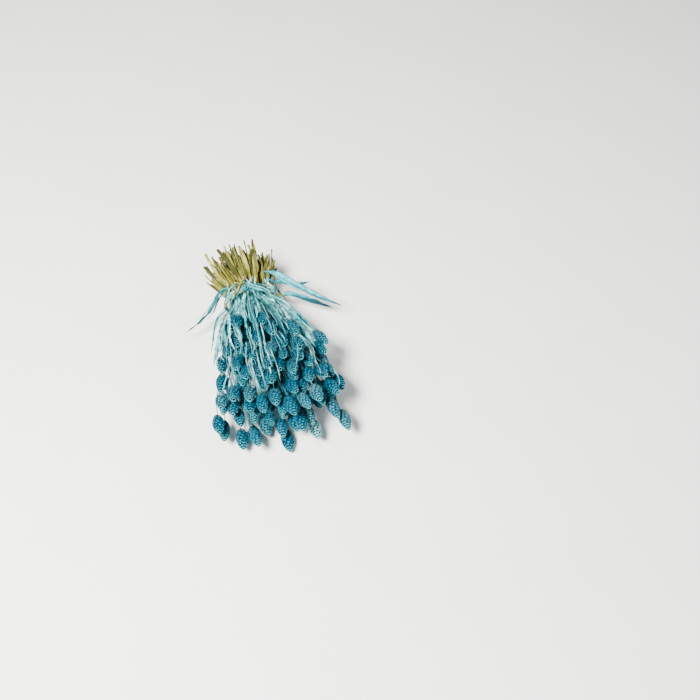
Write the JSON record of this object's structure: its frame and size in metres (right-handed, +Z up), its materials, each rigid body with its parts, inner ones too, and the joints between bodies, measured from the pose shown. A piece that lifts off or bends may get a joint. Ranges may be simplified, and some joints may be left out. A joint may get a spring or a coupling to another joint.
{
  "type": "tied bunch of dried phalaris stems",
  "caption": "Tied bunch of dried, dyed phalaris grass lying on its side: oval scaly seed heads fan out from a tight neck, with long thin leaves and a broom of straw-coloured cut ends.",
  "frame": {"origin": "centre of the footprint of the lying bunch, on the surface it rests on", "axes": "+Z up from the surface, +Y along the bunch towards the cut ends (seed heads towards -Y), +X to the right as seen from the seed heads"},
  "size_m": [0.2476, 0.3612, 0.1263],
  "materials": {
    "seed_heads": "dry scales, dyed teal with paler edges, matt",
    "dyed_leaves": "thin dry blades and stems, dyed pale aqua, matt",
    "straw": "natural olive straw, matt",
    "tie": "flat strand, pale aqua, matt"
  },
  "bodies": {
    "root": {"spray_01": "seed_heads", "spray_02": "seed_heads", "spray_03": "seed_heads", "spray_04": "seed_heads", "spray_05": "seed_heads", "spray_06": "seed_heads", "spray_07": "seed_heads", "spray_08": "seed_heads", "spray_09": "seed_heads", "spray_10": "seed_heads", "spray_11": "seed_heads", "spray_12": "seed_heads", "spray_13": "seed_heads", "spray_14": "seed_heads", "spray_15": "seed_heads", "spray_16": "seed_heads", "spray_17": "seed_heads", "spray_18": "seed_heads", "spray_19": "seed_heads", "spray_20": "seed_heads", "spray_21": "seed_heads", "spray_22": "seed_heads", "spray_23": "seed_heads", "spray_24": "seed_heads", "spray_25": "seed_heads", "spray_26": "seed_heads", "spray_27": "seed_heads", "spray_28": "seed_heads", "leaf_01": "dyed_leaves", "leaf_02": "dyed_leaves", "leaf_03": "dyed_leaves", "leaf_04": "dyed_leaves", "leaf_05": "dyed_leaves", "leaf_06": "dyed_leaves", "leaf_07": "dyed_leaves", "leaf_08": "dyed_leaves", "leaf_09": "dyed_leaves", "leaf_10": "dyed_leaves", "leaf_11": "dyed_leaves", "leaf_12": "dyed_leaves", "leaf_13": "dyed_leaves", "leaf_14": "dyed_leaves", "leaf_15": "dyed_leaves", "leaf_16": "dyed_leaves", "leaf_17": "dyed_leaves", "leaf_18": "dyed_leaves", "leaf_19": "dyed_leaves", "loose_leaf_right_1": "dyed_leaves", "loose_leaf_right_2": "dyed_leaves", "loose_leaf_right_3": "dyed_leaves", "loose_leaf_left_1": "dyed_leaves", "loose_leaf_left_2": "dyed_leaves", "dry_blade_01": "straw", "dry_blade_02": "straw", "dry_blade_03": "straw", "dry_blade_04": "straw", "dry_blade_05": "straw", "tie_band": "tie"}
  },
  "joints": []
}
